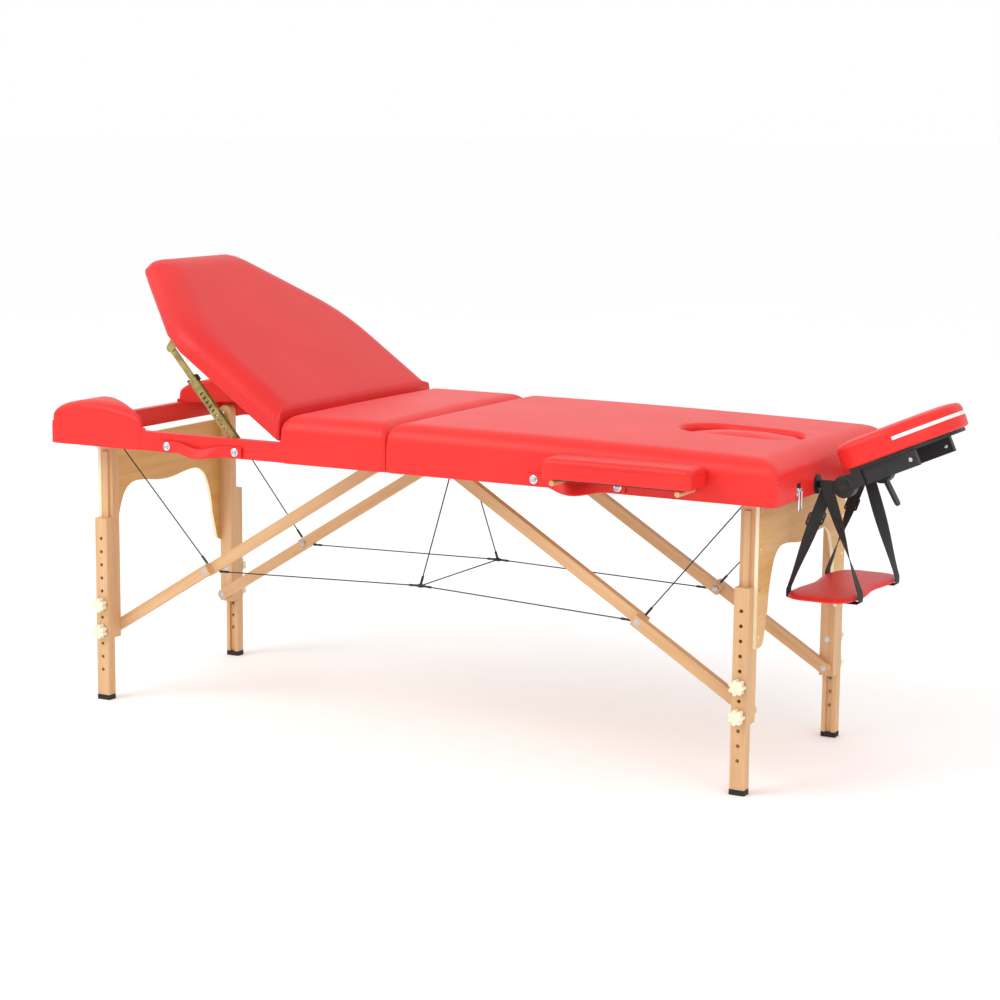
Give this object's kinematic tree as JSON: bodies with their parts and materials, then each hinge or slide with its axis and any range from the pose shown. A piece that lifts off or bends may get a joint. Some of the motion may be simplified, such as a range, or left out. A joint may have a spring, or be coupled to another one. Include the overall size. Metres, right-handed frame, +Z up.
{
  "type": "folding massage table",
  "caption": "Portable wooden massage table with folding halves and legs, a raised backrest, padded face cradle with arm sling, side armrests and a removable face-hole plug.",
  "frame": {"origin": "on the floor, under the middle of the whole length from the corner pads' end to the face cushion's tip, on the table's centre line", "axes": "+X along the table towards the face cradle, +Y to the far side (the carry handles are on -Y), +Z up"},
  "size_m": [2.1528, 0.8874, 1.0841],
  "materials": {
    "red_vinyl": "red vinyl with a fine grain, satin",
    "beech_wood": "clear lacquered beech",
    "plywood_deck": "plain plywood",
    "veneer_panel": "yellow veneer, satin",
    "zinc_steel": "zinc plated",
    "gold_zinc": "yellow zinc plated steel",
    "black_plastic": "satin black",
    "black_cable": "steel cable in a black sleeve",
    "bright_chrome": "bright",
    "black_webbing": "woven webbing",
    "black_rubber": "matte",
    "cream_plastic": "satin cream"
  },
  "bodies": {
    "centre_hinge": {"centre_hinge_pins": "zinc_steel", "centre_cables": "black_cable"},
    "left_half": {"left_side_rails": "red_vinyl", "left_cross_rails": "red_vinyl", "left_boards": "plywood_deck", "seat_pad": "red_vinyl", "corner_pads": "red_vinyl", "left_carry_handle": "red_vinyl", "left_half_fittings": "zinc_steel", "left_cables": "black_cable"},
    "right_half": {"right_side_rails": "red_vinyl", "right_cross_rails": "red_vinyl", "right_board": "plywood_deck", "right_pad": "red_vinyl", "right_carry_handle": "red_vinyl", "right_half_fittings": "zinc_steel", "cradle_sockets": "black_plastic", "right_cables": "black_cable"},
    "face_plug": {"face_plug": "red_vinyl"},
    "latch_bails": {"latch_bails": "bright_chrome"},
    "backrest": {"backrest_board": "plywood_deck", "backrest_pad": "red_vinyl", "backrest_fittings": "zinc_steel"},
    "strut_channels": {"strut_channels": "gold_zinc", "strut_collars": "black_plastic"},
    "strut_bars": {"strut_bars": "gold_zinc"},
    "cradle_posts": {"cradle_posts": "black_plastic"},
    "cradle": {"cradle_frame": "black_plastic", "face_cushion": "red_vinyl"},
    "cradle_lever": {"cradle_lever": "black_plastic"},
    "sling": {"sling_shelf": "red_vinyl", "sling_straps": "black_webbing"},
    "near_armrest": {"near_armrest_pad": "red_vinyl", "near_armrest_frame": "beech_wood"},
    "far_armrest": {"far_armrest_pad": "red_vinyl", "far_armrest_frame": "beech_wood"},
    "left_legs": {"left_upper_legs": "beech_wood", "left_end_panel": "veneer_panel", "left_leg_bolts": "zinc_steel"},
    "left_upper_braces": {"left_upper_braces": "beech_wood"},
    "left_lower_braces": {"left_lower_braces": "beech_wood", "left_knee_bolts": "zinc_steel"},
    "near_left_lower_leg": {"near_left_lower_leg": "beech_wood", "near_left_foot": "black_rubber"},
    "near_left_knobs": {"near_left_knobs": "cream_plastic"},
    "far_left_lower_leg": {"far_left_lower_leg": "beech_wood", "far_left_foot": "black_rubber"},
    "far_left_knobs": {"far_left_knobs": "cream_plastic"},
    "right_legs": {"right_upper_legs": "beech_wood", "right_end_panel": "veneer_panel", "right_leg_bolts": "zinc_steel"},
    "right_upper_braces": {"right_upper_braces": "beech_wood"},
    "right_lower_braces": {"right_lower_braces": "beech_wood", "right_knee_bolts": "zinc_steel"},
    "near_right_lower_leg": {"near_right_lower_leg": "beech_wood", "near_right_foot": "black_rubber"},
    "near_right_knobs": {"near_right_knobs": "cream_plastic"},
    "far_right_lower_leg": {"far_right_lower_leg": "beech_wood", "far_right_foot": "black_rubber"},
    "far_right_knobs": {"far_right_knobs": "cream_plastic"}
  },
  "joints": [
    {"name": "left_fold", "type": "hinge", "parent": "centre_hinge", "child": "left_half", "pos_m": [-0.1384, 0, 0.628], "axis": [0, -1, 0], "range_deg": [0, 90], "deforming": ["left_cables"]},
    {"name": "right_fold", "type": "hinge", "parent": "centre_hinge", "child": "right_half", "pos_m": [-0.1384, 0, 0.628], "axis": [0, 1, 0], "range_deg": [0, 90], "deforming": ["right_cables"]},
    {"name": "left_leg_fold", "type": "hinge", "parent": "left_half", "child": "left_legs", "pos_m": [-0.9734, 0, 0.654], "axis": [0, -1, 0], "range_deg": [0, 90]},
    {"name": "left_upper_brace_fold", "type": "hinge", "parent": "left_half", "child": "left_upper_braces", "pos_m": [-0.1754, 0, 0.668], "axis": [0, 1, 0], "range_deg": [0, 31.82]},
    {"name": "left_lower_brace_fold", "type": "hinge", "parent": "left_legs", "child": "left_lower_braces", "pos_m": [-0.9734, 0, 0.173], "axis": [0, -1, 0], "range_deg": [0, 58.2]},
    {"name": "near_left_leg_height", "type": "slide", "parent": "left_legs", "child": "near_left_lower_leg", "axis": [0, 0, -1], "range_m": [-0.0975, 0.0975]},
    {"name": "near_left_knobs_off", "type": "slide", "parent": "left_legs", "child": "near_left_knobs", "axis": [0, 1, 0], "range_m": [-0.03, 0]},
    {"name": "far_left_leg_height", "type": "slide", "parent": "left_legs", "child": "far_left_lower_leg", "axis": [0, 0, -1], "range_m": [-0.0975, 0.0975]},
    {"name": "far_left_knobs_off", "type": "slide", "parent": "left_legs", "child": "far_left_knobs", "axis": [0, -1, 0], "range_m": [-0.03, 0]},
    {"name": "right_leg_fold", "type": "hinge", "parent": "right_half", "child": "right_legs", "pos_m": [0.6966, 0, 0.654], "axis": [0, 1, 0], "range_deg": [0, 90]},
    {"name": "right_upper_brace_fold", "type": "hinge", "parent": "right_half", "child": "right_upper_braces", "pos_m": [-0.1014, 0, 0.668], "axis": [0, -1, 0], "range_deg": [0, 31.82]},
    {"name": "right_lower_brace_fold", "type": "hinge", "parent": "right_legs", "child": "right_lower_braces", "pos_m": [0.6966, 0, 0.173], "axis": [0, 1, 0], "range_deg": [0, 58.2]},
    {"name": "near_right_leg_height", "type": "slide", "parent": "right_legs", "child": "near_right_lower_leg", "axis": [0, 0, -1], "range_m": [-0.0975, 0.0975]},
    {"name": "near_right_knobs_off", "type": "slide", "parent": "right_legs", "child": "near_right_knobs", "axis": [0, 1, 0], "range_m": [-0.03, 0]},
    {"name": "far_right_leg_height", "type": "slide", "parent": "right_legs", "child": "far_right_lower_leg", "axis": [0, 0, -1], "range_m": [-0.0975, 0.0975]},
    {"name": "far_right_knobs_off", "type": "slide", "parent": "right_legs", "child": "far_right_knobs", "axis": [0, -1, 0], "range_m": [-0.03, 0]},
    {"name": "backrest_tilt", "type": "hinge", "parent": "left_half", "child": "backrest", "pos_m": [-0.4194, 0, 0.678], "axis": [0, 1, 0], "range_deg": [-35, 0]},
    {"name": "strut_swing", "type": "hinge", "parent": "left_half", "child": "strut_channels", "pos_m": [-0.5384, 0, 0.654], "axis": [0, 1, 0], "range_deg": [-47.09, 0]},
    {"name": "strut_slide", "type": "slide", "parent": "strut_channels", "child": "strut_bars", "axis": [-0.6578, 0, 0.7532], "range_m": [-0.04392, 0]},
    {"name": "plug_lift", "type": "slide", "parent": "right_half", "child": "face_plug", "axis": [0, 0, 1], "range_m": [0, 0.09]},
    {"name": "latch_swing", "type": "hinge", "parent": "right_half", "child": "latch_bails", "pos_m": [0.7976, 0, 0.659], "axis": [0, -1, 0], "range_deg": [0, 110]},
    {"name": "cradle_slide", "type": "slide", "parent": "right_half", "child": "cradle_posts", "axis": [1, 0, 0], "range_m": [0, 0.07]},
    {"name": "cradle_tilt", "type": "hinge", "parent": "cradle_posts", "child": "cradle", "pos_m": [0.8576, 0, 0.657], "axis": [0, -1, 0], "range_deg": [-24, 20]},
    {"name": "lever_swing", "type": "hinge", "parent": "cradle", "child": "cradle_lever", "pos_m": [0.90483, 0, 0.65909], "axis": [0, -1, 0], "range_deg": [0, 60]},
    {"name": "sling_swing", "type": "hinge", "parent": "cradle_posts", "child": "sling", "pos_m": [0.8176, 0, 0.657], "axis": [0, 1, 0], "range_deg": [-8, 8], "deforming": ["sling_straps"]},
    {"name": "near_armrest_slide", "type": "slide", "parent": "right_half", "child": "near_armrest", "axis": [0, -1, 0], "range_m": [0, 0.06]},
    {"name": "far_armrest_slide", "type": "slide", "parent": "right_half", "child": "far_armrest", "axis": [0, 1, 0], "range_m": [0, 0.06]}
  ],
  "couplings": [
    {"joint": "left_leg_fold", "follows": "left_fold", "ratio": 1},
    {"joint": "left_upper_brace_fold", "follows": "left_fold", "ratio": 0.35346},
    {"joint": "left_lower_brace_fold", "follows": "left_fold", "ratio": 0.64654},
    {"joint": "right_leg_fold", "follows": "right_fold", "ratio": 1},
    {"joint": "right_upper_brace_fold", "follows": "right_fold", "ratio": 0.35346},
    {"joint": "right_lower_brace_fold", "follows": "right_fold", "ratio": 0.64654},
    {"joint": "strut_swing", "follows": "backrest_tilt", "ratio": 1.3451},
    {"joint": "strut_slide", "follows": "backrest_tilt", "m_per_rad": 0.071878}
  ]
}
